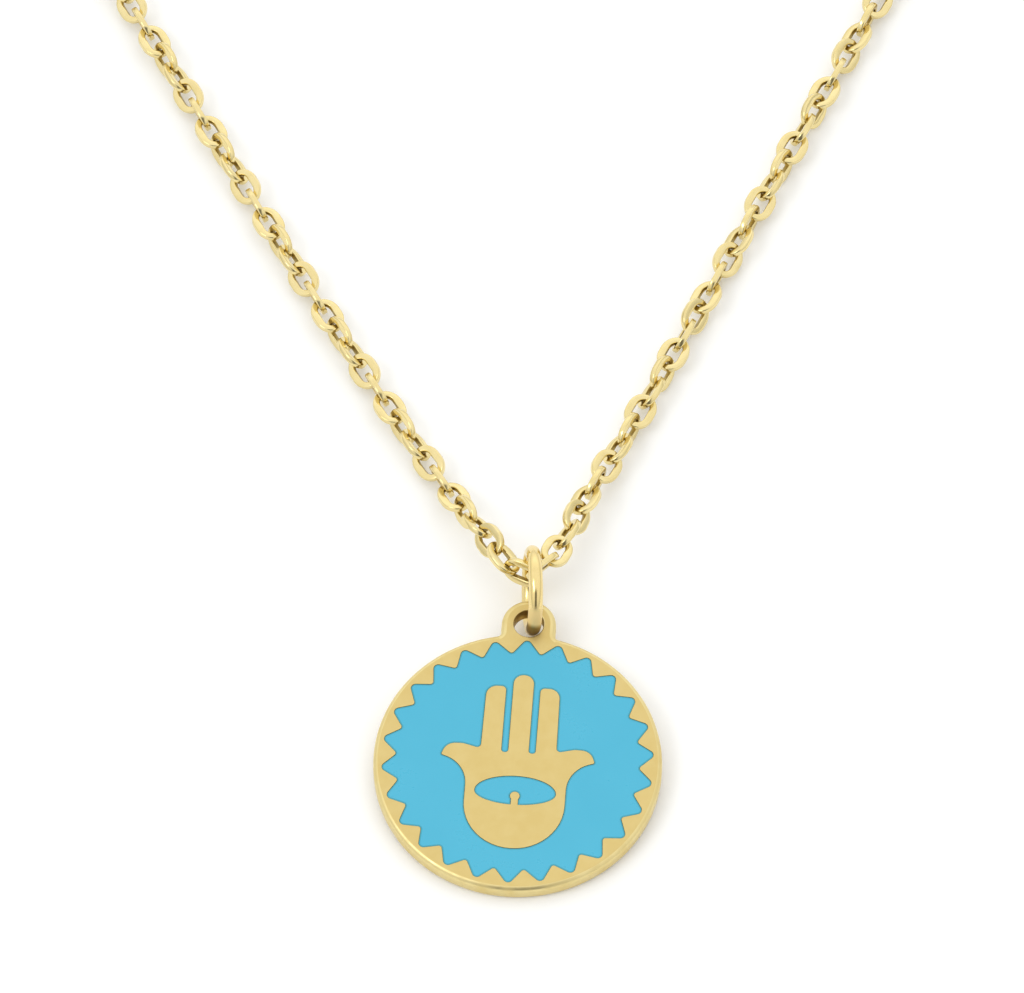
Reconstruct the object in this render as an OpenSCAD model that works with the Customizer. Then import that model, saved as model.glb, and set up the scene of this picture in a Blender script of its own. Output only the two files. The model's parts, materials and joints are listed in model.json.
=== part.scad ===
// Necklace with a hamsa pendant, lying on a flat surface: a round plate with an enamelled
// border of rays round an open hand, a jump ring through its tab, and a closed cable chain.
// Millimetres. +Z is up, +Y runs up the plate and along the chain, +X to the right.

/* [Plate] */
// Diameter of the round plate
plate_diameter = 20; // [16:0.5:30]
// Thickness of the plate
plate_thickness = 1.3; // [0.9:0.1:2.5]
// Rounding of the front edge
front_rounding = 0.4; // [0.1:0.05:0.6]
// Rounding of the back edge
back_rounding = 0.3; // [0.1:0.05:0.6]
// Half width of the tab, which is also the radius of its top
tab_radius = 1.9; // [1.6:0.1:2.6]
// Height of the hole's centre over the round plate's edge
hole_rise = 0.8; // [0.4:0.1:2]
// Radius of the hole in the tab
hole_radius = 1.05; // [0.8:0.05:1.3]
// Chamfer at both mouths of the hole
hole_chamfer = 0.1; // [0.02:0.02:0.2]
// Fillet between the tab and the round plate
tab_fillet = 0.3; // [0.1:0.05:0.8]

/* [Border of rays] */
// Number of rays round the border
ray_count = 26; // [12:1:40]
// Plain rim between the plate's edge and the tips of the rays
rim_width = 0.36; // [0.2:0.02:1]
// Length of a ray from its valley to its tip, before they are rounded
ray_length = 1.25; // [0.5:0.05:2]
// Rounding of the rays' tips
ray_tip_radius = 0.35; // [0.1:0.05:0.5]
// Rounding of the valleys between the rays
ray_valley_radius = 0.2; // [0.1:0.05:0.4]

/* [Hand] */
// Width of the hand over both thumbs
hand_width = 10.66; // [8:0.1:13]
// Height of the hand from the foot of the palm to the middle fingertip
hand_height = 13.48; // [10:0.1:15]
// Drop of the foot of the palm under the plate's centre
palm_drop = 6.78; // [5:0.1:7.4]

/* [Eye in the palm] */
// Width of the eye
eye_width = 5.66; // [3:0.1:6]
// Drop of the eye's corners under the plate's centre
eye_drop = 2.45; // [1:0.05:4]
// Rise of the upper lid over the corners
upper_lid = 1.27; // [0.8:0.05:2]
// Fall of the lower lid under the corners
lower_lid = 0.97; // [0.6:0.05:2]
// Radius of the pupil
pupil_radius = 0.33; // [0.2:0.02:0.6]
// Drop of the pupil's centre under the eye's corners
pupil_drop = 0.29; // [0:0.02:0.5]
// Width of the bar from the pupil to the lower lid
pupil_bar = 0.48; // [0.2:0.02:0.6]

/* [Enamel] */
// Depth of the recesses that hold the enamel
recess_depth = 0.3; // [0.15:0.05:0.6]
// Clearance between the enamel and its recess
enamel_gap = 0.02; // [0.01:0.01:0.05]

/* [Jump ring] */
// Radius of the jump ring to the middle of its wire
ring_radius = 2.7; // [2.2:0.1:3.4]
// Diameter of the jump ring's wire
ring_wire = 1; // [0.6:0.05:1.2]
// Lean of the ring to the right
ring_lean = 4.4; // [0:0.2:8]
// Turn of the ring's far side to the left
ring_turn = 2.8; // [0:0.2:8]
// Angle, from the ring's foot, at which the tab hangs on the wire
hang_angle = 33; // [30:1:50]
// Distance by which the tab hangs left of the ring's foot
hang_left = 0.16; // [0:0.02:0.4]
// Clearance between the tab and the ring
hang_gap = 0.03; // [0.02:0.01:0.1]
// Turn of the pendant on the surface, clockwise from above
pendant_turn = 4.18; // [0:0.1:8]

/* [Chain] */
// Outer length of a link
link_length = 2.9; // [2.4:0.05:3.6]
// Outer width of a link
link_width = 2.15; // [1.8:0.05:2.6]
// Thickness of a link
link_thickness = 0.34; // [0.25:0.01:0.4]
// Width of a link's long sides
link_side = 0.5; // [0.3:0.01:0.55]
// Width of a link's ends
link_end = 0.38; // [0.25:0.01:0.42]
// Free distance between a link's end and the next link's end inside it
link_play = 0.34; // [0.28:0.01:0.5]
// Twist from one link of the left strand to the next
left_twist = 72; // [55:0.2:90]
// Twist from one link of the right strand to the next, the other way round
right_twist = 64.8; // [55:0.2:90]
// Height of the lying chain over the surface
table_gap = 0.02; // [0.01:0.01:0.1]
// Rise of the chain where it runs through the ring
chain_rise = 2.3; // [1.5:0.1:2.8]

/* [Clasp] */
// Length of the clasp's body
clasp_length = 6; // [4:0.5:10]
// Diameter of the clasp's body
clasp_diameter = 2; // [1.4:0.1:2]
// Radius of an eye to the middle of its wire
clasp_eye_radius = 0.72; // [0.65:0.01:0.8]
// Diameter of an eye's wire
clasp_eye_wire = 0.52; // [0.3:0.02:0.6]

/* [Hidden] */
$fn = 96;

// how far a cut reaches past the face it opens
overcut = 0.2;
// largest step of a rounded corner's points, in degrees
hand_step = 10;
ray_step = 24;
eye_step = 10;
// points between two chosen points of the chain's route
route_steps = 14;

gold = [0.83, 0.69, 0.36];
gold_wire = [0.87, 0.74, 0.42];
blue = [0.37, 0.76, 0.87];

plate_radius = plate_diameter / 2;
hole_y = plate_radius + hole_rise;
tip_radius = plate_radius - rim_width;
valley_radius = tip_radius - ray_length;
recess_floor = plate_thickness - recess_depth;

// The right half of the hand's outline, from the foot of the palm to the middle fingertip.
// Columns: distance from the middle as a share of half the hand's width, height over the
// foot as a share of the hand's height, corner radius as a share of half the width.
across = 0;
up = 1;
corner = 2;
hand_half = [
    [0.653, 0, 0.645],
    [0.653, 0.48, 0.413],
    [1, 0.514, 0.023],
    [0.936, 0.583, 0.169],
    [0.732, 0.586, 0.225],
    [0.492, 0.562, 0.053],
    [0.477, 0.93, 0.141],
    [0.225, 0.93, 0.056],
    [0.225, 0.549, 0.041],
    [0.131, 0.549, 0.041],
    [0.131, 1, 0.128]
];

// The chain's route over the surface, from the clasp along the left strand to the ring and
// back along the right strand to the clasp. Columns: x and y from the ring's foot, and the
// share of the rise. The clasp's place adds the two ends. The strands hook into each other
// at a sharp bend inside the ring, so each has a first point of its own there.
chain_route = [
    [-22.5, 163.77, 0],
    [-36, 155.37, 0],
    [-46.5, 143.97, 0],
    [-53.5, 130.67, 0],
    [-56.3, 117.17, 0],
    [-55.3, 104.17, 0],
    [-50.5, 91.17, 0],
    [-44, 78.47, 0],
    [-36.6, 65.17, 0],
    [-29.3, 51.77, 0],
    [-22.27, 38.63, 0],
    [-15.41, 25.85, 0],
    [-9.1, 14.85, 0],
    [-6.28, 10.23, 0.02],
    [-4.77, 7.43, 0.34],
    [-3.65, 5.44, 0.69],
    [-2.47, 3.36, 0.88],
    [-1.32, 1.88, 0.77],
    [0.1, 1.31, 0.76],
    [0.05, 1.29, 1.04],
    [1.51, 2.7, 0.95],
    [1.88, 3.72, 0.82],
    [2.92, 5.98, 0.62],
    [3.86, 8.53, 0.42],
    [5.8, 12.47, 0.08],
    [8.35, 17.57, 0],
    [12.4, 25.87, 0],
    [18.55, 38.37, 0],
    [25.15, 51.67, 0],
    [31.85, 65.17, 0],
    [38.5, 78.57, 0],
    [44.5, 91.47, 0],
    [48.8, 104.67, 0],
    [49.9, 117.67, 0],
    [46.8, 131.17, 0],
    [39.8, 144.37, 0],
    [29.3, 155.77, 0],
    [15.8, 163.97, 0]
];
left_point_count = 19;
clasp_place = [-2.95, 167.77];
// Rolls of the first links, which the bend and the ring turn out of the strands' twist
left_first_rolls = [106.8, 30, 137];
right_first_rolls = [106.8, 14.9, -53.2];
// Rolls that the steady twists start from, at the first link of each strand
left_roll = 5;
right_roll = 55.1;

// Jump ring and plate: the tab's hole hangs on the inside of the wire
wire_radius = ring_wire / 2;
ring_z = ring_radius * cos(ring_lean) + wire_radius;
hang_reach = ring_radius - wire_radius - hang_gap;
hang_point = [-hang_left, -hang_reach * sin(hang_angle), ring_z - hang_reach * cos(hang_angle)];
plate_reach = hole_y + hole_radius + plate_radius;
plate_tilt = asin((hang_point[2] - table_gap) / (plate_reach - back_rounding));
// the middle of the plate's back face
up_the_plate = [cos(plate_tilt) * sin(pendant_turn), cos(plate_tilt) * cos(pendant_turn), sin(plate_tilt)];
plate_place = hang_point - (hole_y + hole_radius) * up_the_plate;

// Chain: a link hangs in the next with its play, and lies on its widest turn
link_inner_length = link_length - 2 * link_end;
link_inner_width = link_width - 2 * link_side;
link_pitch = link_inner_length - link_play;
clasp_eye_outer = clasp_eye_radius + clasp_eye_wire / 2;
lie_height = max(norm([link_width, link_thickness]) / 2, clasp_diameter / 2, clasp_eye_outer) + table_gap;

// Clasp: its eyes sit in the end links as another link would
clasp_eye_offset = clasp_eye_radius - (link_pitch / 2 - (link_inner_length / 2 - link_play - clasp_eye_wire / 2));
clasp_eye_x = clasp_length / 2 + clasp_eye_radius;
clasp_half_span = clasp_eye_x + clasp_eye_offset;

route_left_end = [clasp_place[0] - clasp_half_span, clasp_place[1], 0];
route_right_end = [clasp_place[0] + clasp_half_span, clasp_place[1], 0];
left_points = concat([for (i = [left_point_count - 1 : -1 : 0]) chain_route[i]], [route_left_end]);
right_points = concat([for (i = [left_point_count : len(chain_route) - 1]) chain_route[i]], [route_right_end]);

left_links = strand(left_points, left_first_rolls, left_roll, left_twist);
right_links = strand(right_points, right_first_rolls, right_roll, -right_twist);
all_links = concat(left_links, right_links);

// Extents of the whole necklace from the ring's foot, for the middle of its footprint
x_min = min([for (l = all_links) l[0][0] - link_reach(l, 0)]);
x_max = max([for (l = all_links) l[0][0] + link_reach(l, 0)]);
chain_y_max = max([for (l = all_links) l[0][1] + link_reach(l, 1)]);
y_max = max(chain_y_max, clasp_place[1] + clasp_diameter / 2);
plate_lean = sin(plate_tilt) * cos(pendant_turn);
y_min = plate_place[1] - plate_radius * sqrt(1 - plate_lean * plate_lean) - (plate_thickness - front_rounding) * plate_lean;
origin_shift = [-(x_min + x_max) / 2, -(y_min + y_max) / 2, 0];

// Outlines

function unit(v) = v / norm(v);
function turn(a, b, c) =
    let (u = unit(b - a), v = unit(c - b))
    atan2(u[0] * v[1] - u[1] * v[0], u * v);
function about(p, centre, angle) =
    let (d = p - centre)
    centre + [d[0] * cos(angle) - d[1] * sin(angle), d[0] * sin(angle) + d[1] * cos(angle)];

// A closed outline with each [x, y, radius] corner rounded. Two roundings share their edge.
function rounded(list, step) =
    let (
        n = len(list),
        p = [for (c = list) [c[0], c[1]]],
        turns = [for (i = [0 : n - 1]) turn(p[(i + n - 1) % n], p[i], p[(i + 1) % n])],
        wants = [for (i = [0 : n - 1]) list[i][2] * tan(abs(turns[i]) / 2)],
        fits = [for (i = [0 : n - 1]) norm(p[(i + 1) % n] - p[i]) / (wants[i] + wants[(i + 1) % n])]
    )
    [for (i = [0 : n - 1])
        let (
            fit = min(1, fits[i], fits[(i + n - 1) % n]),
            back = unit(p[(i + n - 1) % n] - p[i]),
            start = p[i] + back * wants[i] * fit,
            side = turns[i] > 0 ? -90 : 90,
            centre = about(start + back * list[i][2] * fit, start, side),
            steps = max(1, ceil(abs(turns[i]) / step))
        )
        for (k = [0 : steps]) about(start, centre, turns[i] * k / steps)];

hand_points = [for (c = hand_half)
    [c[across] * hand_width / 2, c[up] * hand_height - palm_drop, c[corner] * hand_width / 2]];
hand_mirrored = [for (i = [len(hand_points) - 1 : -1 : 0])
    [-hand_points[i][0], hand_points[i][1], hand_points[i][2]]];
hand_outline = rounded(concat(hand_points, hand_mirrored), hand_step);

ray_outline = rounded([for (i = [0 : 2 * ray_count - 1])
    let (
        tip = i % 2 == 0,
        radius = tip ? tip_radius : valley_radius,
        angle = 90 + i * 180 / ray_count
    )
    [radius * cos(angle), radius * sin(angle), tip ? ray_tip_radius : ray_valley_radius]], ray_step);

eye_outline = [for (a = [0 : eye_step : 360 - eye_step])
    [cos(a) * eye_width / 2, sin(a) * (sin(a) > 0 ? upper_lid : lower_lid) - eye_drop]];

module field_shape() {
    difference() {
        polygon(ray_outline);
        polygon(hand_outline);
    }
}

module eye_shape() {
    pupil_y = -eye_drop - pupil_drop;
    difference() {
        polygon(eye_outline);
        translate([0, pupil_y]) circle(pupil_radius);
        translate([-pupil_bar / 2, pupil_y - lower_lid]) square([pupil_bar, lower_lid]);
    }
}

// Chain route

function spline(a, b, c, d, u) =
    0.5 * (2 * b + (c - a) * u + (2 * a - 5 * b + 4 * c - d) * u * u + (3 * b - a - 3 * c + d) * u * u * u);
function lifted(p) = [p[0], p[1], lie_height + chain_rise * p[2]];
function curve(points) =
    let (p = [for (q = points) lifted(q)], last = len(p) - 1)
    concat([for (i = [0 : last - 1]) for (k = [0 : route_steps - 1])
        spline(p[max(i - 1, 0)], p[i], p[i + 1], p[min(i + 2, last)], k / route_steps)], [p[last]]);
function running(p) =
    [for (i = 0, s = 0; i < len(p); s = s + (i < len(p) - 1 ? norm(p[i + 1] - p[i]) : 0), i = i + 1) s];
function along(s, tables) = [for (t = tables) lookup(s, t)];

// Links as [centre, span between their joints, roll], at equal steps from the ring
function strand(points, first_rolls, roll, twist) =
    let (
        path = curve(points),
        lengths = running(path),
        total = lengths[len(lengths) - 1],
        tables = [for (c = [0 : 2]) [for (i = [0 : len(path) - 1]) [lengths[i], path[i][c]]]],
        count = round(total / link_pitch),
        step = total / count
    )
    [for (k = [0 : count - 1])
        let (a = along(k * step, tables), b = along((k + 1) * step, tables))
        [(a + b) / 2, b - a, k < len(first_rolls) ? first_rolls[k] : roll + k * twist]];
function heading(v) = atan2(v[1], v[0]);
function climb(v) = atan2(v[2], norm([v[0], v[1]]));
function link_frame(l) =
    let (h = heading(l[1]), e = climb(l[1]), r = l[2])
    [[cos(e) * cos(h), cos(e) * sin(h), sin(e)],
     cos(r) * [-sin(h), cos(h), 0] + sin(r) * [-sin(e) * cos(h), -sin(e) * sin(h), cos(e)]];
// half the size of a placed link along an axis
function link_reach(l, axis) =
    let (f = link_frame(l), x = f[0][axis], y = f[1][axis])
    abs(x) * (link_length - link_width) / 2 + norm([x, y]) * link_width / 2
    + sqrt(max(0, 1 - x * x - y * y)) * link_thickness / 2;

module placed(l) {
    translate(l[0]) rotate([l[2], -climb(l[1]), heading(l[1])]) children();
}

module stadium(length, width) {
    middle = (length - width) / 2;
    square([2 * middle, width], center = true);
    for (x = [-middle, middle]) translate([x, 0]) circle(width / 2);
}

module link() {
    linear_extrude(link_thickness, center = true) difference() {
        stadium(link_length, link_width);
        stadium(link_inner_length, link_inner_width);
    }
}

// Plate

// the section of a rounded edge at the given distance from the middle
module edge_section(reach) {
    translate([0, back_rounding]) square([reach - front_rounding, plate_thickness - back_rounding]);
    square([reach - back_rounding, plate_thickness - front_rounding]);
    translate([0, back_rounding]) square([reach, plate_thickness - front_rounding - back_rounding]);
    translate([reach - front_rounding, plate_thickness - front_rounding]) circle(front_rounding);
    translate([reach - back_rounding, back_rounding]) circle(back_rounding);
}

module tab_neck() {
    buried = sqrt(pow(plate_radius - max(front_rounding, back_rounding), 2) - tab_radius * tab_radius) - tab_fillet;
    translate([0, hole_y, 0]) rotate([90, 0, 0]) linear_extrude(hole_y - buried) {
        edge_section(tab_radius);
        mirror([1, 0]) edge_section(tab_radius);
    }
}

module tab_corner() {
    centre = [tab_radius + tab_fillet, sqrt(pow(plate_radius + tab_fillet, 2) - pow(tab_radius + tab_fillet, 2))];
    on_plate = centre * plate_radius / (plate_radius + tab_fillet);
    inside = tab_radius - tab_fillet;
    translate([0, 0, back_rounding]) linear_extrude(plate_thickness - front_rounding - back_rounding) difference() {
        polygon([centre, [inside, centre[1]], [inside, on_plate[1] - tab_fillet], on_plate - [0, tab_fillet / 2], on_plate]);
        translate(centre) circle(tab_fillet);
    }
}

module blank() {
    rotate_extrude() edge_section(plate_radius);
    translate([0, hole_y, 0]) rotate_extrude(angle = 180) edge_section(tab_radius);
    tab_neck();
    tab_corner();
    mirror([1, 0, 0]) tab_corner();
}

module hole() {
    cylinder(h = 3 * plate_thickness, r = hole_radius, center = true);
    for (side = [0, 1]) translate([0, 0, side * plate_thickness]) mirror([0, 0, side])
        translate([0, 0, -overcut]) cylinder(h = overcut + hole_chamfer, r1 = hole_radius + hole_chamfer + overcut, r2 = hole_radius);
}

module on_pendant() {
    translate(origin_shift + plate_place) rotate([plate_tilt, 0, -pendant_turn]) children();
}

module pendant_plate() {
    color(gold) on_pendant() difference() {
        blank();
        translate([0, hole_y, 0]) hole();
        translate([0, 0, recess_floor]) linear_extrude(recess_depth + overcut) field_shape();
        translate([0, 0, recess_floor]) linear_extrude(recess_depth + overcut) eye_shape();
    }
}

module enamel_field() {
    color(blue) on_pendant() translate([0, 0, recess_floor + enamel_gap])
        linear_extrude(recess_depth - enamel_gap) offset(delta = -enamel_gap) field_shape();
}

module enamel_eye() {
    color(blue) on_pendant() translate([0, 0, recess_floor + enamel_gap])
        linear_extrude(recess_depth - enamel_gap) offset(delta = -enamel_gap) eye_shape();
}

module jump_ring() {
    color(gold_wire) translate(origin_shift + [0, 0, ring_z]) rotate([0, 90 + ring_lean, ring_turn])
        rotate_extrude() translate([ring_radius, 0]) circle(wire_radius);
}

module chain_left() {
    color(gold_wire) translate(origin_shift) for (l = left_links) placed(l) link();
}

module chain_right() {
    color(gold_wire) translate(origin_shift) for (l = right_links) placed(l) link();
}

// Clasp

module clasp_eye(roll) {
    rotate([roll + 90, 0, 0]) rotate_extrude() translate([clasp_eye_radius, 0]) circle(clasp_eye_wire / 2);
}

module clasp() {
    barrel = clasp_length - clasp_diameter;
    color(gold_wire) translate(origin_shift + [clasp_place[0], clasp_place[1], lie_height]) {
        rotate([0, 90, 0]) cylinder(h = barrel, d = clasp_diameter, center = true);
        for (side = [-1, 1]) translate([side * barrel / 2, 0, 0]) sphere(d = clasp_diameter);
        translate([-clasp_eye_x, 0, 0]) clasp_eye(left_links[len(left_links) - 1][2]);
        translate([clasp_eye_x, 0, 0]) rotate([0, 0, 180]) clasp_eye(right_links[len(right_links) - 1][2]);
    }
}

pendant_plate();
enamel_field();
enamel_eye();
jump_ring();
chain_left();
chain_right();
clasp();
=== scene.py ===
import json
import math
import bmesh
import bpy
import numpy as np
from mathutils import Euler, Matrix, Vector

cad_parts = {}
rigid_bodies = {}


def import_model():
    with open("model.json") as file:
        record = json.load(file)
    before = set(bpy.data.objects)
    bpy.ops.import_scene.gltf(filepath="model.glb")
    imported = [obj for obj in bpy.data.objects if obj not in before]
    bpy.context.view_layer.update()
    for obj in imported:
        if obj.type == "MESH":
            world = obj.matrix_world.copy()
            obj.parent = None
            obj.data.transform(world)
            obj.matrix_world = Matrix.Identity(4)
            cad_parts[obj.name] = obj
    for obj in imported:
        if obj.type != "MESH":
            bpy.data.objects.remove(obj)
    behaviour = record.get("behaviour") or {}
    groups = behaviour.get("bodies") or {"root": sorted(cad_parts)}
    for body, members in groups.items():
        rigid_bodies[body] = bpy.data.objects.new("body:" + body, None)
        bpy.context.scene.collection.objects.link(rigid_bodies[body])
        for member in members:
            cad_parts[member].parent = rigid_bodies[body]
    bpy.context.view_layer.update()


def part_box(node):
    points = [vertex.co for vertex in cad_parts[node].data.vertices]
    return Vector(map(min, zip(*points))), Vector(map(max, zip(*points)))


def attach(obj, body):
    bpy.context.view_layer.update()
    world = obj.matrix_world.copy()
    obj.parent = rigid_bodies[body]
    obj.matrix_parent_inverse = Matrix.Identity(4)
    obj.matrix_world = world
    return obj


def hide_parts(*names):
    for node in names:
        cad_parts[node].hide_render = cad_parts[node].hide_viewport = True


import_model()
mm = 0.001
near = 1e-7             # metres within which two heights or points count as one
cutPast = 1.0           # how far a cutting shape reaches past what it cuts
flatNormal = 0.999      # a face whose normal comes this near to an axis lies square to it
rimTurn = 0.5           # radians between two faces from which their edge is a rim's
shadeWeight = 60        # how far large faces lead the shading of small ones

# everything is placed from the spot where the jump ring stands
ringLow, ringHigh = (Vector(corner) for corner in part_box("jump_ring"))
ringCentre = (ringLow + ringHigh) / 2
ringFoot = Vector((ringCentre.x, ringCentre.y, 0))


def startClean():
    if bpy.context.object and bpy.context.object.mode != "OBJECT":
        bpy.ops.object.mode_set(mode="OBJECT")
    bpy.ops.object.select_all(action="DESELECT")


def makeActive(piece):
    startClean()
    piece.select_set(True)
    bpy.context.view_layer.objects.active = piece


def edit(piece):
    makeActive(piece)
    bpy.ops.object.mode_set(mode="EDIT")


def pick(piece, kind, test):
    # in edit mode, selects the vertices, edges or faces that pass the test
    bpy.ops.mesh.select_mode(type=kind)
    bpy.ops.mesh.select_all(action="DESELECT")
    shape = bmesh.from_edit_mesh(piece.data)
    for item in {"VERT": shape.verts, "EDGE": shape.edges, "FACE": shape.faces}[kind]:
        if test(item):
            item.select_set(True)
    bmesh.update_edit_mesh(piece.data)


def applyModifier(piece, kind, **settings):
    makeActive(piece)
    modifier = piece.modifiers.new(kind.title(), kind)
    for name, value in settings.items():
        setattr(modifier, name, value)
    bpy.ops.object.modifier_apply(modifier=modifier.name)


def cutWith(piece, tool, operation="DIFFERENCE"):
    applyModifier(piece, "BOOLEAN", object=tool, operation=operation, solver="EXACT")
    bpy.data.objects.remove(tool)


def place(piece, matrix):
    # moves the mesh itself, so that the object stays at the origin
    startClean()
    piece.data.transform(matrix)
    piece.data.update()


def smooth(piece, angle):
    makeActive(piece)
    bpy.ops.object.shade_smooth_by_angle(angle=math.radians(angle))
    applyModifier(piece, "WEIGHTED_NORMAL", keep_sharp=True, weight=shadeWeight)


def addMaterials(piece, *materials):
    for material in materials:
        piece.data.materials.append(material)


def finish(piece, name, slot, *nodes):
    piece.name = name
    piece.data.name = name
    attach(piece, "root")
    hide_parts(*nodes)


def arc(centre, radius, start, end, steps):
    # points on an arc, both ends included
    return [Vector((centre[0] + radius * math.cos(math.radians(angle)),
                    centre[1] + radius * math.sin(math.radians(angle))))
            for angle in np.linspace(start, end, steps + 1)]


def circle(centre, radius, count):
    # a closed round outline of so many points
    return arc(centre, radius, 0, 360 - 360 / count, count - 1)


def slab(points, low, high):
    # a flat piece with the given outline, between two heights
    startClean()
    bpy.ops.mesh.primitive_circle_add(vertices=len(points), radius=mm, fill_type="NGON")
    piece = bpy.context.object
    for vertex, point in zip(piece.data.vertices, points):
        vertex.co = Vector((point[0], point[1], low)) * mm
    edit(piece)
    bpy.ops.mesh.select_all(action="SELECT")
    bpy.ops.mesh.extrude_region_move(TRANSFORM_OT_translate={"value": (0, 0, (high - low) * mm)})
    bpy.ops.mesh.select_all(action="SELECT")
    bpy.ops.mesh.normals_make_consistent(inside=False)
    bpy.ops.object.mode_set(mode="OBJECT")
    return piece


def roundCorners(corners, step):
    # a closed outline from [x, y, radius] corners, as points on straight runs and arcs
    spots = [Vector((x, y)) for x, y, _ in corners]
    count = len(spots)
    turns, wants = [], []
    for i in range(count):
        before, after = spots[i] - spots[i - 1], spots[(i + 1) % count] - spots[i]
        turns.append(math.atan2(before.x * after.y - before.y * after.x, before.dot(after)))
        wants.append(corners[i][2] * math.tan(abs(turns[i]) / 2))
    points = []
    for i in range(count):
        lastSpot, nextSpot = spots[i - 1], spots[(i + 1) % count]
        fit = min(1, (spots[i] - lastSpot).length / (wants[i - 1] + wants[i]),
                  (nextSpot - spots[i]).length / (wants[i] + wants[(i + 1) % count]))
        back = (lastSpot - spots[i]).normalized()
        start = spots[i] + back * wants[i] * fit
        side = -1 if turns[i] > 0 else 1
        centre = start + Vector((-back.y, back.x)) * side * corners[i][2] * fit
        steps = max(1, math.ceil(abs(turns[i]) / math.radians(step)))
        for k in range(steps + 1):
            points.append(centre + Matrix.Rotation(turns[i] * k / steps, 2) @ (start - centre))
    return points


def insetOutline(points, gap):
    # the same outline, moved inwards by the gap (outwards where it is negative)
    count = len(points)
    area = sum(points[i - 1].x * points[i].y - points[i].x * points[i - 1].y for i in range(count))
    moved = []
    for i in range(count):
        before = (points[i] - points[i - 1]).normalized()
        after = (points[(i + 1) % count] - points[i]).normalized()
        middle = (before + after).normalized()
        inwards = Vector((-middle.y, middle.x)) * (1 if area > 0 else -1)
        moved.append(points[i] + inwards * gap / max(0.5, middle.dot(after)))  # twice the gap at most
    return moved


print("materials")
metals = {  # the polished finishes; haze is their deeper, worn patches, counted per metre
    "ring": dict(colour=(0.85, 0.68, 0.31), worn=(0.82, 0.64, 0.27), rough=0.12, haze=900, bump=0.06),
    "rim": dict(colour=(0.78, 0.65, 0.31), worn=(0.75, 0.61, 0.27), rough=0.36, haze=700, bump=0.03),
    # the hole's wall: a darker copy of the metal that carries painted shade
    "bore": dict(colour=(0.46, 0.32, 0.11), worn=(0.368, 0.256, 0.088), rough=0.4, haze=1500, bump=0.1),
    "chain": dict(colour=(0.835, 0.7, 0.355), worn=(0.79, 0.645, 0.295), rough=0.14, haze=900, bump=0.08),
    # the link's opening: a darker copy of the chain's metal that carries painted shade
    "opening": dict(colour=(0.45, 0.34, 0.13), worn=(0.36, 0.272, 0.104), rough=0.3, haze=900, bump=0.08),
}
wear = {
    "hazeRange": (0.35, 0.7),           # the noise values between which a spot turns hazy
    "scratches": 2500,                  # per metre
    "scratchRange": (0.6, 0.75),
    "scratchTurn": (0.4, 0.7, 0.9),     # the way that they run, in radians
    "scratchStretch": (1, 0.08, 0.3),
    "roughRange": (0.8, 1.5),           # times a metal's roughness, from clean to worn
    "depth": 0.01,
}
satin = {
    "colour": (0.700, 0.547, 0.225),
    "deep": (0.678, 0.521, 0.203),      # its patches
    "roughRange": (0.372, 0.428),
    "grain": 14000,                     # per metre
    "patches": 900,
    "patchRange": (0.35, 0.65),
    "bump": 0.15,
    "depth": 0.01,
}
glaze = {
    "blue": (0.056, 0.457, 0.652),
    "deep": (0.052, 0.447, 0.640),
    "edgeShade": (0.70, 0.80, 0.74),    # painted shade where it meets the metal: how much deeper its blue is there
    "roughRange": (0.224, 0.336),
    "coat": 0.25,
    "coatRoughness": 0.12,
    "grain": 2500,
    "patches": 250,
    "bump": 0.012,
    "depth": 0.02,
}


def newGroup(name, inputs, outputs):
    group = bpy.data.node_groups.new(name, "ShaderNodeTree")
    for way, sockets in (("INPUT", inputs), ("OUTPUT", outputs)):
        for socketName, kind in sockets.items():
            group.interface.new_socket(name=socketName, in_out=way, socket_type="NodeSocket" + kind)
    return group, group.nodes.new("NodeGroupInput"), group.nodes.new("NodeGroupOutput")


def addNode(tree, kind, **settings):
    node = tree.nodes.new("ShaderNode" + kind)
    for name, value in settings.items():
        if name in node.inputs.keys():
            node.inputs[name].default_value = value
        else:
            setattr(node, name, value)
    return node


def stretch(tree, value, before, after=(0, 1), kind="LINEAR"):
    # turns one range of values into another
    node = addNode(tree, "MapRange", interpolation_type=kind)
    for name, number in zip(("From Min", "From Max", "To Min", "To Max"), (*before, *after)):
        node.inputs[name].default_value = number
    tree.links.new(value, node.inputs["Value"])
    return node.outputs["Result"]


def reckon(tree, operation, *values):
    # a sum, a product or the like of values, each from a socket or a plain number
    node = addNode(tree, "Math", operation=operation)
    for socket, value in zip(node.inputs, values):
        if isinstance(value, float):
            socket.default_value = value
        else:
            tree.links.new(value, socket)
    return node.outputs[0]


def addNoise(tree, vector, size, detail, roughness):
    texture = addNode(tree, "TexNoise", Detail=detail, Roughness=roughness)
    tree.links.new(vector, texture.inputs["Vector"])
    tree.links.new(size, texture.inputs["Scale"])
    return texture.outputs["Fac"]


def makeGrainGroup():
    # fine grain on broad patches: its height, and how dull and how deep each spot is
    group, enter, leave = newGroup(
        "satinGrain",
        {"Vector": "Vector", "Grain Size": "Float", "Unevenness": "Float"},
        {"Height": "Float", "Dullness": "Float", "Patches": "Float"})
    vector = enter.outputs["Vector"]
    fine = addNoise(group, vector, enter.outputs["Grain Size"], detail=3, roughness=0.6)
    broad = addNoise(group, vector, enter.outputs["Unevenness"], detail=2, roughness=0.5)
    patches = stretch(group, broad, satin["patchRange"])
    dull = reckon(group, "ADD", fine, reckon(group, "MULTIPLY", patches, 0.5))
    for name, value in (("Height", fine), ("Dullness", dull), ("Patches", patches)):
        group.links.new(value, leave.inputs[name])
    return group


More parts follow.
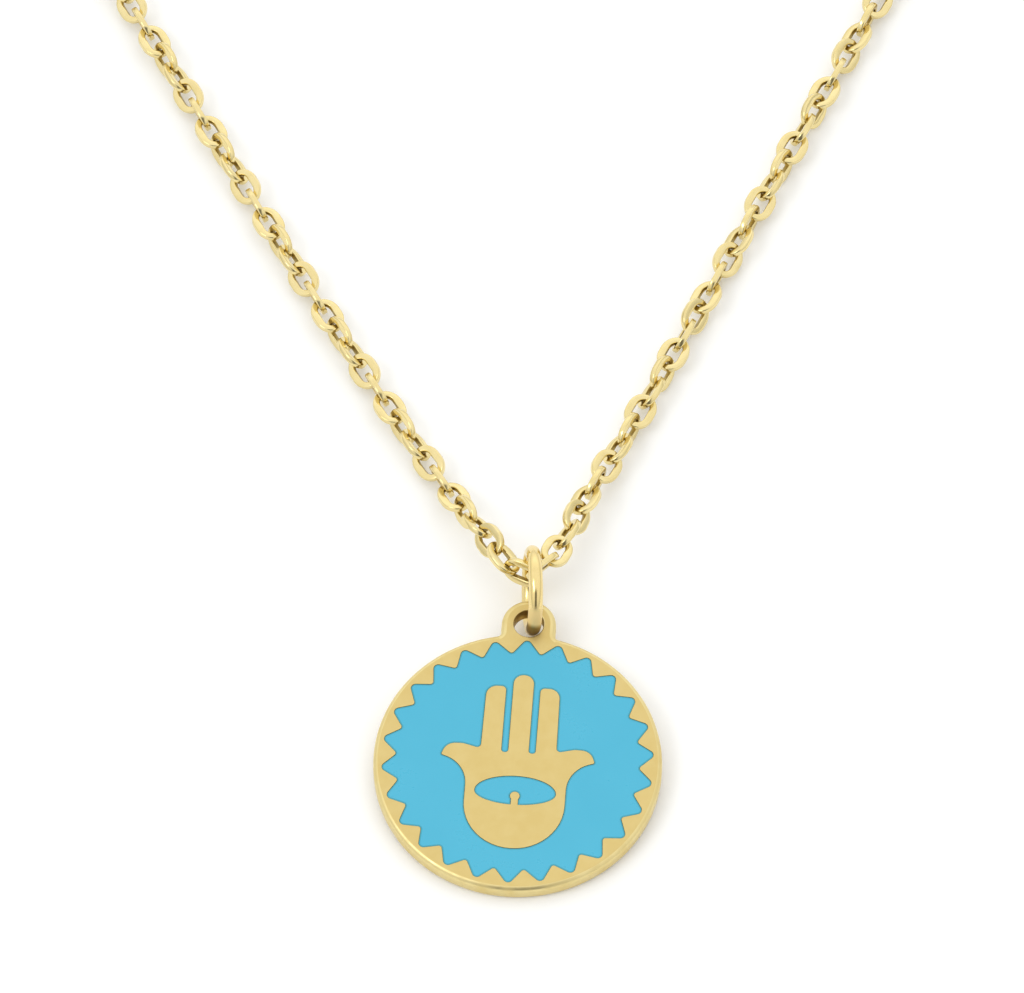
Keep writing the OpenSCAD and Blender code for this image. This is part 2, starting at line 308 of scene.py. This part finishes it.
def makeWearGroup():
    # handling marks of polished metal: hazy patches and hairline scratches
    group, enter, leave = newGroup(
        "polishWear",
        {"Vector": "Vector", "Haze Size": "Float", "Scratch Size": "Float"},
        {"Haze": "Float", "Scratches": "Float", "Height": "Float"})
    vector = enter.outputs["Vector"]
    haze = addNoise(group, vector, enter.outputs["Haze Size"], detail=3, roughness=0.55)
    drawn = addNode(group, "Mapping", Rotation=wear["scratchTurn"], Scale=wear["scratchStretch"])
    group.links.new(vector, drawn.inputs["Vector"])
    lines = addNoise(group, drawn.outputs["Vector"], enter.outputs["Scratch Size"], detail=2, roughness=0.7)
    for name, value in (("Haze", stretch(group, haze, wear["hazeRange"])),
                        ("Scratches", stretch(group, lines, wear["scratchRange"])), ("Height", lines)):
        group.links.new(value, leave.inputs[name])
    return group


grainGroup = makeGrainGroup()
wearGroup = makeWearGroup()


def newMaterial(name):
    material = bpy.data.materials.new(name)
    material.use_nodes = True
    tree = material.node_tree
    shader = tree.nodes["Principled BSDF"]
    return material, tree, shader, addNode(tree, "TexCoord").outputs["Object"]


def mixColours(tree, factor, first, second):
    mix = addNode(tree, "Mix", data_type="RGBA")
    tree.links.new(factor, mix.inputs["Factor"])
    mix.inputs["A"].default_value = (*first, 1)
    mix.inputs["B"].default_value = (*second, 1)
    return mix.outputs["Result"]


def bumpFrom(tree, height, strength, depth):
    bump = addNode(tree, "Bump", Strength=strength, Distance=depth * mm)
    tree.links.new(height, bump.inputs["Height"])
    return bump.outputs["Normal"]


def placeGroup(tree, group, vector, **sizes):
    node = addNode(tree, "Group", node_tree=group)
    for name, value in sizes.items():
        node.inputs[name.replace("_", " ")].default_value = value
    tree.links.new(vector, node.inputs["Vector"])
    return node


def polishedGold(name, look):
    material, tree, shader, spot = newMaterial(name)
    shader.inputs["Metallic"].default_value = 1
    marks = placeGroup(tree, wearGroup, spot, Haze_Size=look["haze"], Scratch_Size=wear["scratches"])
    haze = marks.outputs["Haze"]
    worn = reckon(tree, "MAXIMUM", haze, marks.outputs["Scratches"])
    roughRange = [look["rough"] * share for share in wear["roughRange"]]
    link = tree.links.new
    link(mixColours(tree, haze, look["colour"], look["worn"]), shader.inputs["Base Color"])
    link(stretch(tree, worn, (0, 1), roughRange), shader.inputs["Roughness"])
    link(bumpFrom(tree, marks.outputs["Height"], look["bump"], wear["depth"]), shader.inputs["Normal"])
    return material


def grained(name, look, colour, deepColour):
    # a material with fine grain and faint patches
    material, tree, shader, spot = newMaterial(name)
    grain = placeGroup(tree, grainGroup, spot, Grain_Size=look["grain"], Unevenness=look["patches"])
    link = tree.links.new
    link(mixColours(tree, grain.outputs["Patches"], colour, deepColour), shader.inputs["Base Color"])
    link(stretch(tree, grain.outputs["Dullness"], (0, 1), look["roughRange"]), shader.inputs["Roughness"])
    link(bumpFrom(tree, grain.outputs["Height"], look["bump"], look["depth"]), shader.inputs["Normal"])
    return material, shader


def satinGold(name):
    material, shader = grained(name, satin, satin["colour"], satin["deep"])
    shader.inputs["Metallic"].default_value = 1
    return material


def glazeMaterial(name, shade):
    blue, deepBlue = ([c * s for c, s in zip(glaze[tone], shade)] for tone in ("blue", "deep"))
    material, shader = grained(name, glaze, blue, deepBlue)
    shader.inputs["Coat Weight"].default_value = glaze["coat"]
    shader.inputs["Coat Roughness"].default_value = glaze["coatRoughness"]
    return material


def paintLightRound(material, spot, reach, colour, roughness, metal):
    # paints light or shade onto a metal round one spot, as another colour, roughness and metalness
    tree = material.node_tree
    shader = tree.nodes["Principled BSDF"]
    apart = addNode(tree, "VectorMath", operation="DISTANCE")
    apart.inputs[1].default_value = spot
    tree.links.new(addNode(tree, "TexCoord").outputs["Object"], apart.inputs[0])
    paintedLight = stretch(tree, apart.outputs["Value"], [far * mm for far in reach], (1, 0), "SMOOTHSTEP")
    changes = {"Base Color": ("RGBA", (*colour, 1)),
               "Roughness": ("FLOAT", roughness),
               "Metallic": ("FLOAT", metal)}
    for name, (kind, value) in changes.items():
        mix = addNode(tree, "Mix", data_type=kind)
        factor, first, second = (socket for socket in mix.inputs if socket.enabled)
        tree.links.new(paintedLight, factor)
        if shader.inputs[name].is_linked:
            tree.links.new(shader.inputs[name].links[0].from_socket, first)
        else:
            first.default_value = shader.inputs[name].default_value
        second.default_value = value
        tree.links.new(next(socket for socket in mix.outputs if socket.enabled), shader.inputs[name])


satinMetal = satinGold("satinGold")
rimMetal = polishedGold("polishedRim", metals["rim"])
boreShadeMetal = polishedGold("paintedShadeBore", metals["bore"])
ringMetal = polishedGold("polishedRing", metals["ring"])
openingShadeMetal = polishedGold("linkOpeningShade", metals["opening"])
chainMetal = polishedGold("polishedChain", metals["chain"])
blueGlaze = glazeMaterial("blueEnamel", (1, 1, 1))
edgeShadeGlaze = glazeMaterial("blueEnamelEdgeShade", glaze["edgeShade"])

print("pendant plate")
plate = {
    "fromRing": (-1.0221, -12.9771, 0.6286),    # its centre, from the spot where the ring stands
    "tilt": 3.5973,             # degrees that the tab is raised
    "turn": -4.18,
    "discRadius": 9.997,
    "discSteps": 260,
    "thickness": 1.3,
    "frontRounding": 0.4,
    "frontSteps": 6,
    "backRounding": 0.3,
    "backSteps": 5,
    "tabRadius": 1.9,
    "tabSteps": 56,
    "tabFillet": 0.3,
    "filletSteps": 8,
    "holeHeight": 10.8,         # the hole's centre above the disc's
    "holeRadius": 1.05,
    "holePoints": 64,
    "holeEdge": 0.1,
    "holeEdgeSteps": 3,
    "holeMargin": 0.05,         # how far outside the hole its edge may lie
    "satinReach": 9.66,         # how far out the satin face goes, onto the rounded rim
    "boreShadeReach": 1.06,          # and the painted shade on the hole's wall, onto its rounded edge
    "shadeAngle": 40,
    "recessDepth": 0.3,
}
enamel = {
    "gap": 0.02,                # to the recess's floor and walls
    "low": 0.012,               # how far its top lies below the plate's face
    "edge": 0.035,
    "edgeSteps": 2,
    "band": 0.075,              # the band of painted shade along its edges
    "shadeAngle": 50,
}
rays = {"count": 26, "tip": 9.64, "valley": 8.39, "tipRadius": 0.35, "valleyRadius": 0.2, "step": 10}
handStep = 7.5                  # degrees between the points of a rounded corner
handHalf = [                    # the hand's right half as [x, y, corner radius]
    [3.48, -6.78, 3.44],        # the palm's foot
    [3.48, -0.31, 2.2],         # its side, under the thumb
    [5.33, 0.149, 0.123],       # the thumb's tip
    [4.989, 1.079, 0.9],        # its rounded top
    [3.9, 1.12, 1.2],
    [2.62, 0.80, 0.28],         # between thumb and outer finger
    [2.54, 5.75, 0.75],         # the outer finger's tip
    [1.2, 5.75, 0.3],
    [1.2, 0.62, 0.22],          # the slot beside it
    [0.7, 0.62, 0.22],
    [0.7, 6.7, 0.68],           # the middle finger's tip
]
eye = {"halfWidth": 2.83, "drop": 2.45, "upperLid": 1.27, "lowerLid": 0.97, "step": 5,
       "pupilRadius": 0.33, "pupilPoints": 48, "pupilDrop": 0.29, "pupilBar": 0.48, "barReach": 1.4}
plateTurn = Euler((math.radians(plate["tilt"]), 0, math.radians(plate["turn"])), "XYZ")
platePlace = Matrix.Translation(ringFoot + Vector(plate["fromRing"]) * mm) @ plateTurn.to_matrix().to_4x4()


def plateOutline():
    fillet, steps = plate["tabFillet"], plate["filletSteps"]
    filletX = plate["tabRadius"] + fillet
    filletY = math.sqrt((plate["discRadius"] + fillet) ** 2 - filletX ** 2)
    join = math.degrees(math.atan2(filletY, filletX))
    points = arc((0, 0), plate["discRadius"], 180 - join, 360 + join, plate["discSteps"])
    points += arc((filletX, filletY), fillet, 180 + join, 180, steps)[1:]
    points += arc((0, plate["holeHeight"]), plate["tabRadius"], 0, 180, plate["tabSteps"])
    points += arc((-filletX, filletY), fillet, 0, -join, steps)[:-1]
    return points


def rayOutline():
    corners = []
    for i in range(2 * rays["count"]):
        angle = math.radians(90 + i * 180 / rays["count"])
        spot = "tip" if i % 2 == 0 else "valley"
        corners.append([rays[spot] * math.cos(angle), rays[spot] * math.sin(angle), rays[spot + "Radius"]])
    return roundCorners(corners, rays["step"])


def handOutline():
    return roundCorners(handHalf + [[-x, y, radius] for x, y, radius in reversed(handHalf)], handStep)


def eyeOutline():
    points = []
    for angle in np.radians(np.arange(0, 360, eye["step"])):
        lid = eye["upperLid"] if math.sin(angle) > 0 else eye["lowerLid"]
        points.append(Vector((math.cos(angle) * eye["halfWidth"], math.sin(angle) * lid - eye["drop"])))
    return points


def eyePiece(gap, low, high):
    # the eye with its pupil left out, smaller all round by the gap
    piece = slab(insetOutline(eyeOutline(), gap), low, high)
    pupilY = -eye["drop"] - eye["pupilDrop"]
    half, foot = eye["pupilBar"] / 2 + gap, pupilY - eye["barReach"]
    disc = circle((0, pupilY), eye["pupilRadius"] + gap, eye["pupilPoints"])
    bar = ((-half, foot), (half, foot), (half, pupilY), (-half, pupilY))
    pupil = slab(disc, low - cutPast, high + cutPast)
    cutWith(pupil, slab(bar, low - 1.1 * cutPast, high + 1.1 * cutPast), "UNION")
    cutWith(piece, pupil)
    return piece


def fieldPiece(gap, low, high):
    # the field between the rays and the hand, smaller all round by the gap
    piece = slab(insetOutline(rayOutline(), gap), low, high)
    cutWith(piece, slab(insetOutline(handOutline(), -gap), low - cutPast, high + cutPast))
    return piece


def softenRim(piece, height, width, segments, inside=None):
    # rounds the edges at one height that turn from the flat to the sides
    def atRim(edge):
        if any(abs(v.co.z - height * mm) > near for v in edge.verts) or len(edge.link_faces) != 2:
            return False
        return edge.calc_face_angle(0) > rimTurn and (inside is None or inside(edge))

    edit(piece)
    pick(piece, "EDGE", atRim)
    bpy.ops.mesh.bevel(offset=width * mm, offset_type="OFFSET", segments=segments, profile=0.5,
                       clamp_overlap=False)
    bpy.ops.object.mode_set(mode="OBJECT")


def makePlate():
    hole = Vector((0, plate["holeHeight"])) * mm
    top = plate["thickness"]
    floor = top - plate["recessDepth"]

    def nearHole(edge):
        reach = (plate["holeRadius"] + plate["holeMargin"]) * mm
        return all((v.co.xy - hole).length < reach for v in edge.verts)

    piece = slab(plateOutline(), 0, top)
    softenRim(piece, top, plate["frontRounding"], plate["frontSteps"])
    softenRim(piece, 0, plate["backRounding"], plate["backSteps"])
    drill = circle((0, plate["holeHeight"]), plate["holeRadius"], plate["holePoints"])
    cutWith(piece, slab(drill, -cutPast, top + cutPast))
    for height in (top, 0):
        softenRim(piece, height, plate["holeEdge"], plate["holeEdgeSteps"], nearHole)
    for recess in (fieldPiece, eyePiece):
        cutWith(piece, recess(0, floor, top + cutPast / 2))
    smooth(piece, plate["shadeAngle"])
    addMaterials(piece, satinMetal, rimMetal, boreShadeMetal)
    # the hole's wall and its rounded edge take the painted shade
    for face in piece.data.polygons:
        inRecess = face.center.z > floor * mm - near and face.center.xy.length < plate["satinReach"] * mm
        inBoreShade = (face.center.xy - hole).length < plate["boreShadeReach"] * mm
        face.material_index = 0 if abs(face.normal.z) > flatNormal or inRecess else 2 if inBoreShade else 1
    place(piece, platePlace)
    finish(piece, "pendantPlate", "plate_metal", "pendant_plate")


def makeEnamel():
    low = plate["thickness"] - plate["recessDepth"] + enamel["gap"]
    high = plate["thickness"] - enamel["low"]
    fills = (("enamelField", "enamel_field", fieldPiece), ("enamelEye", "enamel_eye", eyePiece))
    for name, node, maker in fills:
        piece = maker(enamel["gap"], low, high)
        softenRim(piece, high, enamel["edge"], enamel["edgeSteps"])
        edit(piece)
        pick(piece, "FACE", lambda face: face.normal.z > flatNormal)
        bpy.ops.mesh.inset(thickness=enamel["band"] * mm, depth=0)
        middle = [face.index for face in bmesh.from_edit_mesh(piece.data).faces if face.select]
        bpy.ops.object.mode_set(mode="OBJECT")
        smooth(piece, enamel["shadeAngle"])
        addMaterials(piece, blueGlaze, edgeShadeGlaze)
        # the band round the middle takes the painted shade
        for face in piece.data.polygons:
            face.material_index = 0 if face.index in middle else 1
        place(piece, platePlace)
        finish(piece, name, "enamel", node)


makePlate()
makeEnamel()

print("jump ring")
ring = {
    "radius": 2.697,
    "wire": 0.998,
    "around": 144,
    "wireSteps": 36,
    "lean": 4.4,
    "turn": 2.8,
    "seamAt": 205,                    # degrees round the ring
    "seamWidth": 0.5,                 # degrees
    "seamDepth": 0.012,
    "seamEdge": 0.004,
    "shadeAngle": 50,
    "paintedLight": (0.92, 0.67, 0.28),     # painted pale reflection, near where the tab meets it
    "paintedLightAt": (0.1, -3.0, 0.95),    # from its centre
    "paintedLightReach": (0.5, 1.3),        # from full to none
    "paintedLightMetal": 0.1,
    "shaded": (0.30, 0.19, 0.05),     # painted shade where it dips into the hole
    "shadedAt": (0, -3.05, -0.4),
    "shadedReach": (0.5, 1.05),
    "shadedMetal": 0.6,
    "dullness": 0.5,                  # of both spots
}


def makeRing():
    startClean()
    bpy.ops.mesh.primitive_torus_add(major_radius=ring["radius"] * mm, minor_radius=ring["wire"] / 2 * mm,
                                     major_segments=ring["around"], minor_segments=ring["wireSteps"])
    piece = bpy.context.object
    edit(piece)
    for side in (-0.5, 0.5):  # the two cuts beside the closing seam
        bpy.ops.mesh.select_all(action="SELECT")
        turn = math.radians(ring["seamAt"] + side * ring["seamWidth"])
        bpy.ops.mesh.bisect(plane_co=(0, 0, 0), plane_no=(-math.sin(turn), math.cos(turn), 0))

    def inSeam(face):
        around = math.degrees(math.atan2(face.calc_center_median().y, face.calc_center_median().x)) % 360
        return abs(around - ring["seamAt"]) < ring["seamWidth"] / 2

    pick(piece, "FACE", inSeam)
    bpy.ops.mesh.inset(thickness=ring["seamEdge"] * mm, depth=-ring["seamDepth"] * mm)
    bpy.ops.object.mode_set(mode="OBJECT")
    smooth(piece, ring["shadeAngle"])
    # a painted pale reflection and a painted shade on the ring
    for mark in ("paintedLight", "shaded"):
        paintLightRound(ringMetal, ringCentre + Vector(ring[mark + "At"]) * mm, ring[mark + "Reach"],
                 ring[mark], ring["dullness"], ring[mark + "Metal"])
    addMaterials(piece, ringMetal)
    upright = Euler((0, math.radians(90 + ring["lean"]), math.radians(ring["turn"])), "XYZ")
    place(piece, Matrix.Translation(ringCentre) @ upright.to_matrix().to_4x4())
    finish(piece, "jumpRing", "ring_metal", "jump_ring")


makeRing()

print("chain")
chain = {
    "length": 2.88,
    "width": 2.13,
    "oval": 1.2,           # how far its shape is an oval rather than straight-sided
    "side": 0.58,          # the band along the link's sides
    "end": 0.46,           # and round its ends
    "thickness": 0.42,
    "edge": 0.10,          # how far its edges are rounded
    "edgeAngle": 50,
    "shadeAngle": 80,
    "pictured": 75,        # links this near to the ring are made finer
    "fine": (36, 3),       # steps round such a link, and across its rounded edges
    "plain": (12, 1),      # and round the others
    "facesIn": 0.3,        # how squarely a wall faces the middle to be the opening's
    "steep": 0.6,          # and how level its normal has to be
}


def makeMasterLink(around, segments):
    # one flat oval link at the origin, long way along X
    outer, inner = chain["width"] / 2, chain["width"] / 2 - chain["side"]
    outerShift = chain["length"] / 2 - outer * chain["oval"]
    innerShift = chain["length"] / 2 - chain["end"] - inner * chain["oval"]
    startClean()
    bpy.ops.mesh.primitive_circle_add(vertices=around, radius=outer * mm, fill_type="NOTHING")
    piece = bpy.context.object
    edit(piece)
    bpy.ops.mesh.select_all(action="SELECT")
    bpy.ops.transform.rotate(value=math.radians(180 / around), orient_axis="Z", center_override=(0, 0, 0))
    bpy.ops.transform.resize(value=(chain["oval"], 1, 1), center_override=(0, 0, 0))
    for side in (-1, 1):
        pick(piece, "VERT", lambda v: v.co.x * side > 0)
        bpy.ops.transform.translate(value=(side * outerShift * mm, 0, 0))
    bpy.ops.mesh.select_mode(type="EDGE")
    bpy.ops.mesh.select_all(action="SELECT")
    bpy.ops.mesh.extrude_edges_move()
    bpy.ops.mesh.select_mode(type="VERT")
    shape = bmesh.from_edit_mesh(piece.data)
    innerOnes = [v.index for v in shape.verts if v.select]
    shrink = inner / outer
    for side in (-1, 1):
        pick(piece, "VERT", lambda v: v.index in innerOnes and v.co.x * side > 0)
        bpy.ops.transform.resize(value=(shrink, shrink, 1), center_override=(side * outerShift * mm, 0, 0))
        bpy.ops.transform.translate(value=(side * (innerShift - outerShift) * mm, 0, 0))
    bpy.ops.mesh.select_mode(type="FACE")
    bpy.ops.mesh.select_all(action="SELECT")
    bpy.ops.mesh.extrude_region_move(TRANSFORM_OT_translate={"value": (0, 0, chain["thickness"] * mm)})
    bpy.ops.mesh.select_all(action="SELECT")
    bpy.ops.transform.translate(value=(0, 0, -chain["thickness"] / 2 * mm))
    bpy.ops.mesh.normals_make_consistent(inside=False)
    bpy.ops.object.mode_set(mode="OBJECT")
    applyModifier(piece, "BEVEL", width=chain["edge"] * mm, segments=segments, limit_method="ANGLE",
                  angle_limit=math.radians(chain["edgeAngle"]))
    smooth(piece, chain["shadeAngle"])
    addMaterials(piece, chainMetal, openingShadeMetal)
    for face in piece.data.polygons:  # the opening's wall is duller and darker: painted shade
        facesIn = face.normal.xy.dot(face.center.xy) < -chain["facesIn"] * face.center.xy.length
        face.material_index = 1 if facesIn and abs(face.normal.z) < chain["steep"] else 0
    return piece


def frameObject(node):
    return next(o for o in bpy.data.objects if o.type == "MESH" and o.name.split(".")[0] == node)


def looseParts(shape):
    # the faces of a mesh, sorted into its loose parts
    seen = set()
    for first in shape.faces:
        if first in seen:
            continue
        part, queue = [], [first]
        seen.add(first)
        while queue:
            face = queue.pop()
            part.append(face)
            for edge in face.edges:
                for other in edge.link_faces:
                    if other not in seen:
                        seen.add(other)
                        queue.append(other)
        yield part


def linkPlaces(node):
    # where each link of the CAD chain lies: its middle, and its long, broad and flat directions
    shape = bmesh.new()
    shape.from_mesh(frameObject(node).data)
    bmesh.ops.remove_doubles(shape, verts=shape.verts, dist=near)
    places = []
    for part in looseParts(shape):
        areas = np.array([face.calc_area() for face in part])
        middles = np.array([face.calc_center_median()[:] for face in part])
        normals = np.array([face.normal[:] for face in part])
        # the least area faces the long way, the most the flat way
        _, ways = np.linalg.eigh((normals * areas[:, None]).T @ normals)
        axes = Matrix([ways[:, 0], ways[:, 1], np.cross(ways[:, 0], ways[:, 1])]).transposed()
        places.append(Matrix.Translation(areas @ middles / areas.sum()) @ axes.to_4x4())
    shape.free()
    return places


def makeChain(name, node, fineLink, plainLink):
    copies = []
    for spot in linkPlaces(node):
        master = fineLink if (spot.translation - ringFoot).length < chain["pictured"] * mm else plainLink
        copy = master.copy()
        copy.data = master.data.copy()
        bpy.context.collection.objects.link(copy)
        copy.data.transform(spot)
        copies.append(copy)
    startClean()
    for copy in copies:
        copy.select_set(True)
    bpy.context.view_layer.objects.active = copies[0]
    bpy.ops.object.join()
    piece = copies[0]
    print(name, len(copies), "links", len(piece.data.polygons), "faces")
    finish(piece, name, "chain_metal", node)


masterLinks = [makeMasterLink(*chain[kind]) for kind in ("fine", "plain")]
makeChain("chainLeft", "chain_left", *masterLinks)
makeChain("chainRight", "chain_right", *masterLinks)
for master in masterLinks:
    bpy.data.objects.remove(master)

print("clasp")
clasp = {
    "barrel": 4.0,         # the straight part
    "radius": 0.997,
    "around": 48,
    "endSteps": 9,         # rings of faces on each round end
    "endStep": 9.5,        # degrees between them
    "eyeRadius": 0.72,
    "eyeWire": 0.516,
    "eyeAround": 48,
    "eyeWireSteps": 20,
    "eyeReach": 3.72,      # from the clasp's middle to an eye's
    "eyeRolls": (23, -87.5),
    "grooves": (-1.7, -1.45, 1.45, 1.7),
    "grooveHalf": 0.07,
    "grooveDepth": 0.06,
    "shadeAngle": 30,
}


def roundEnd(piece, side):
    # in edit mode, grows a round end on the barrel, ring after ring
    pick(piece, "FACE", lambda face: face.normal.x * side > flatNormal)
    for step in range(1, clasp["endSteps"] + 1):
        before, now = (math.radians(clasp["endStep"] * k) for k in (step - 1, step))
        rise = side * clasp["radius"] * (math.sin(now) - math.sin(before)) * mm
        shrink = math.cos(now) / math.cos(before)
        bpy.ops.mesh.extrude_region_move(TRANSFORM_OT_translate={"value": (rise, 0, 0)})
        bpy.ops.transform.resize(value=(1, shrink, shrink), center_override=(0, 0, 0))


def cutGroove(piece, at):
    # in edit mode, sinks a groove round the barrel
    shrink = 1 - clasp["grooveDepth"] / clasp["radius"]
    for shift in (-1, 0, 1):
        bpy.ops.mesh.select_all(action="SELECT")
        cut = (at + shift * clasp["grooveHalf"]) * mm
        bpy.ops.mesh.bisect(plane_co=(cut, 0, 0), plane_no=(1, 0, 0))
    pick(piece, "VERT", lambda v: abs(v.co.x - at * mm) < 10 * near)
    bpy.ops.transform.resize(value=(1, shrink, shrink), center_override=(0, 0, 0))


def claspEye(side, roll):
    startClean()
    bpy.ops.mesh.primitive_torus_add(
        major_radius=clasp["eyeRadius"] * mm, minor_radius=clasp["eyeWire"] / 2 * mm,
        major_segments=clasp["eyeAround"], minor_segments=clasp["eyeWireSteps"])
    piece = bpy.context.object
    out = Matrix.Translation((side * clasp["eyeReach"] * mm, 0, 0))
    place(piece, out @ Matrix.Rotation(math.radians(roll), 4, "X"))
    return piece


def makeClasp():
    # a barrel with round ends, grooves round it and an eye at each end
    low, high = (Vector(corner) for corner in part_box("clasp"))
    startClean()
    bpy.ops.mesh.primitive_cylinder_add(vertices=clasp["around"], radius=clasp["radius"] * mm,
                                        depth=clasp["barrel"] * mm, rotation=(0, math.pi / 2, 0))
    piece = bpy.context.object
    bpy.ops.object.transform_apply(rotation=True)
    edit(piece)
    for side in (-1, 1):
        roundEnd(piece, side)
    for groove in clasp["grooves"]:
        cutGroove(piece, groove)
    bpy.ops.object.mode_set(mode="OBJECT")
    for side, roll in zip((-1, 1), clasp["eyeRolls"]):
        cutWith(piece, claspEye(side, roll), "UNION")
    smooth(piece, clasp["shadeAngle"])
    addMaterials(piece, chainMetal)
    place(piece, Matrix.Translation((low + high) / 2))
    finish(piece, "claspBarrel", "chain_metal", "clasp")


makeClasp()

print("camera, floor and light")
view = {"target": (-1.417, 9.801, 0), "elevation": 57.65, "distance": 700, "lens": 348.7, "sensor": 36}
paper = {
    "size": 6,                  # metres
    "drop": 0.02,               # how far it lies below the necklace
    "colour": (0.975, 0.98, 0.975),
    "deepShare": 0.995,         # its patches' share of that
    "grain": 1200,
    "patches": 40,
    "roughRange": (0.85, 0.95),
    "specular": 0.2,
    "glow": 0.055,              # it is lit a little from below, as on a light table
}
studio = {
    "sky": 1.11,                # brightness of the tent overhead
    "horizon": 0.71,            # and just above the floor
    "rise": (0.05, 0.55),       # between these heights it goes from the one to the other
    "front": 0.18,              # share of it that is left in the dark gap towards the camera
    "gapTall": (-0.62, -0.38),  # the gap's edge, from dark to bright, towards the camera
    "gapWide": (0.16, 0.42),    # and to either side
    "back": 1.27,               # what it grows to behind the necklace
    "backRange": (0.45, 0.95),
    "softboxAt": (-0.54, -0.34, 0.78),
    "softboxSize": (0.45, 0.30),
    "softboxPower": 1.15,
}


def makeCamera():
    startClean()
    rise = math.radians(view["elevation"])
    away = Vector((0, -math.cos(rise), math.sin(rise))) * view["distance"] * mm
    bpy.ops.object.camera_add(location=ringFoot + Vector(view["target"]) * mm + away,
                              rotation=(math.pi / 2 - rise, 0, 0))
    camera = bpy.context.object
    camera.data.lens = view["lens"]
    camera.data.sensor_width = view["sensor"]
    camera.data.sensor_fit = "HORIZONTAL"
    camera.data.clip_start = 0.01
    bpy.context.scene.camera = camera


def makeFloor():
    startClean()
    bpy.ops.mesh.primitive_plane_add(size=paper["size"], location=(0, 0, -paper["drop"] * mm))
    floor = bpy.context.object
    floor.name = "paperFloor"
    material, tree, shader, spot = newMaterial("whitePaper")
    grain = placeGroup(tree, grainGroup, spot, Grain_Size=paper["grain"], Unevenness=paper["patches"])
    deepColour = [tone * paper["deepShare"] for tone in paper["colour"]]
    link = tree.links.new
    link(mixColours(tree, grain.outputs["Patches"], paper["colour"], deepColour), shader.inputs["Base Color"])
    link(stretch(tree, grain.outputs["Dullness"], (0, 1), paper["roughRange"]), shader.inputs["Roughness"])
    shader.inputs["Specular IOR Level"].default_value = paper["specular"]
    shader.inputs["Emission Color"].default_value = (1, 1, 1, 1)
    shader.inputs["Emission Strength"].default_value = paper["glow"]
    floor.data.materials.append(material)


def makeSoftbox():
    startClean()
    spot = Vector(studio["softboxAt"])
    bpy.ops.object.light_add(type="AREA", location=spot)
    light = bpy.context.object
    light.name = "leftSoftbox"
    light.rotation_euler = (ringFoot - spot).to_track_quat("-Z", "Y").to_euler()
    light.data.shape = "RECTANGLE"
    light.data.size, light.data.size_y = studio["softboxSize"]
    light.data.energy = studio["softboxPower"]


def makeWorld():
    # a pale tent: bright overhead and behind, dimmer near the floor, with a dark gap towards the camera
    world = bpy.data.worlds.new("studio")
    bpy.context.scene.world = world
    world.use_nodes = True
    tree = world.node_tree
    split = addNode(tree, "SeparateXYZ")
    tree.links.new(addNode(tree, "TexCoord").outputs["Generated"], split.inputs[0])
    across, along, up = split.outputs
    height = stretch(tree, up, studio["rise"], (studio["horizon"], studio["sky"]))
    beyondTall = stretch(tree, along, studio["gapTall"], kind="SMOOTHSTEP")
    beyondWide = stretch(tree, reckon(tree, "ABSOLUTE", across), studio["gapWide"], kind="SMOOTHSTEP")
    front = stretch(tree, reckon(tree, "MAXIMUM", beyondTall, beyondWide), (0, 1), (studio["front"], 1))
    back = stretch(tree, along, studio["backRange"], (1, studio["back"]))
    light = reckon(tree, "MULTIPLY", height, reckon(tree, "MULTIPLY", front, back))
    tree.nodes["Background"].inputs["Color"].default_value = (1, 1, 1, 1)
    tree.links.new(light, tree.nodes["Background"].inputs["Strength"])


makeCamera()
makeFloor()
makeWorld()
makeSoftbox()
bpy.context.scene.view_settings.view_transform = "Standard"
